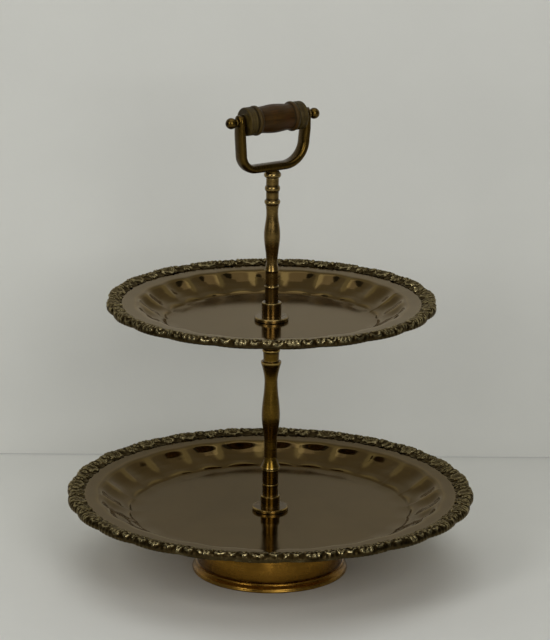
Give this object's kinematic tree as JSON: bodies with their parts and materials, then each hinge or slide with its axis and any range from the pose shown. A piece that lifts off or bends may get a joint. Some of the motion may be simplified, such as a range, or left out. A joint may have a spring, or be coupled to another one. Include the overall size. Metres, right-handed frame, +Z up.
{
  "type": "tiered cake stand",
  "caption": "Two-tier cake stand: dished brass trays with cast scalloped borders, turned stem, spun foot and a stirrup handle with a turned grip.",
  "frame": {"origin": "centre of the foot, on the surface that the stand rests on", "axes": "+Z up along the stem, +X along the grip's pin, +Y across the handle"},
  "size_m": [0.305, 0.305, 0.356],
  "materials": {
    "tray_brass": "polished antique brass under dark lacquer",
    "border_brass": "cast brass, dark patina in its hollows",
    "turned_brass": "turned antique brass under dark lacquer",
    "handle_brass": "cast brass, brown patina",
    "thread_brass": "plain machined brass",
    "fastener_steel": "dull zinc-plated steel",
    "grip_wood": "turned hardwood, dark stain"
  },
  "bodies": {
    "base": {"foot": "turned_brass", "foot_washer": "fastener_steel", "foot_nut": "fastener_steel", "lower_stud": "thread_brass", "lower_tray": "tray_brass", "lower_border": "border_brass"},
    "lower_clamp": {"lower_disc": "turned_brass"},
    "lower_mast": {"lower_socket": "turned_brass", "lower_column": "turned_brass", "tray_seat": "turned_brass", "upper_stud": "thread_brass", "upper_tray": "tray_brass", "upper_border": "border_brass"},
    "upper_clamp": {"upper_disc": "turned_brass"},
    "upper_mast": {"upper_socket": "turned_brass", "upper_column": "turned_brass", "handle_collar": "turned_brass", "handle_stud": "thread_brass", "yoke": "handle_brass", "grip_pin": "turned_brass", "ball_nuts": "turned_brass"},
    "grip": {"grip": "grip_wood"}
  },
  "joints": [
    {"name": "lower_column_turn", "type": "hinge", "parent": "base", "child": "lower_clamp", "pos_m": [0, 0, 0.0489], "axis": [0, 0, 1], "range_deg": [0, 2880]},
    {"name": "lower_column_rise", "type": "slide", "parent": "lower_clamp", "child": "lower_mast", "axis": [0, 0, 1], "range_m": [0, 0.008]},
    {"name": "upper_column_turn", "type": "hinge", "parent": "lower_mast", "child": "upper_clamp", "pos_m": [0, 0, 0.1964], "axis": [0, 0, 1], "range_deg": [0, 2880]},
    {"name": "upper_column_rise", "type": "slide", "parent": "upper_clamp", "child": "upper_mast", "axis": [0, 0, 1], "range_m": [0, 0.008]},
    {"name": "grip_spin", "type": "hinge", "parent": "upper_mast", "child": "grip", "pos_m": [0, 0, 0.345], "axis": [1, 0, 0], "continuous": true}
  ],
  "couplings": [
    {"joint": "lower_column_rise", "follows": "lower_column_turn", "m_per_rad": 0.00015915},
    {"joint": "upper_column_rise", "follows": "upper_column_turn", "m_per_rad": 0.00015915}
  ]
}
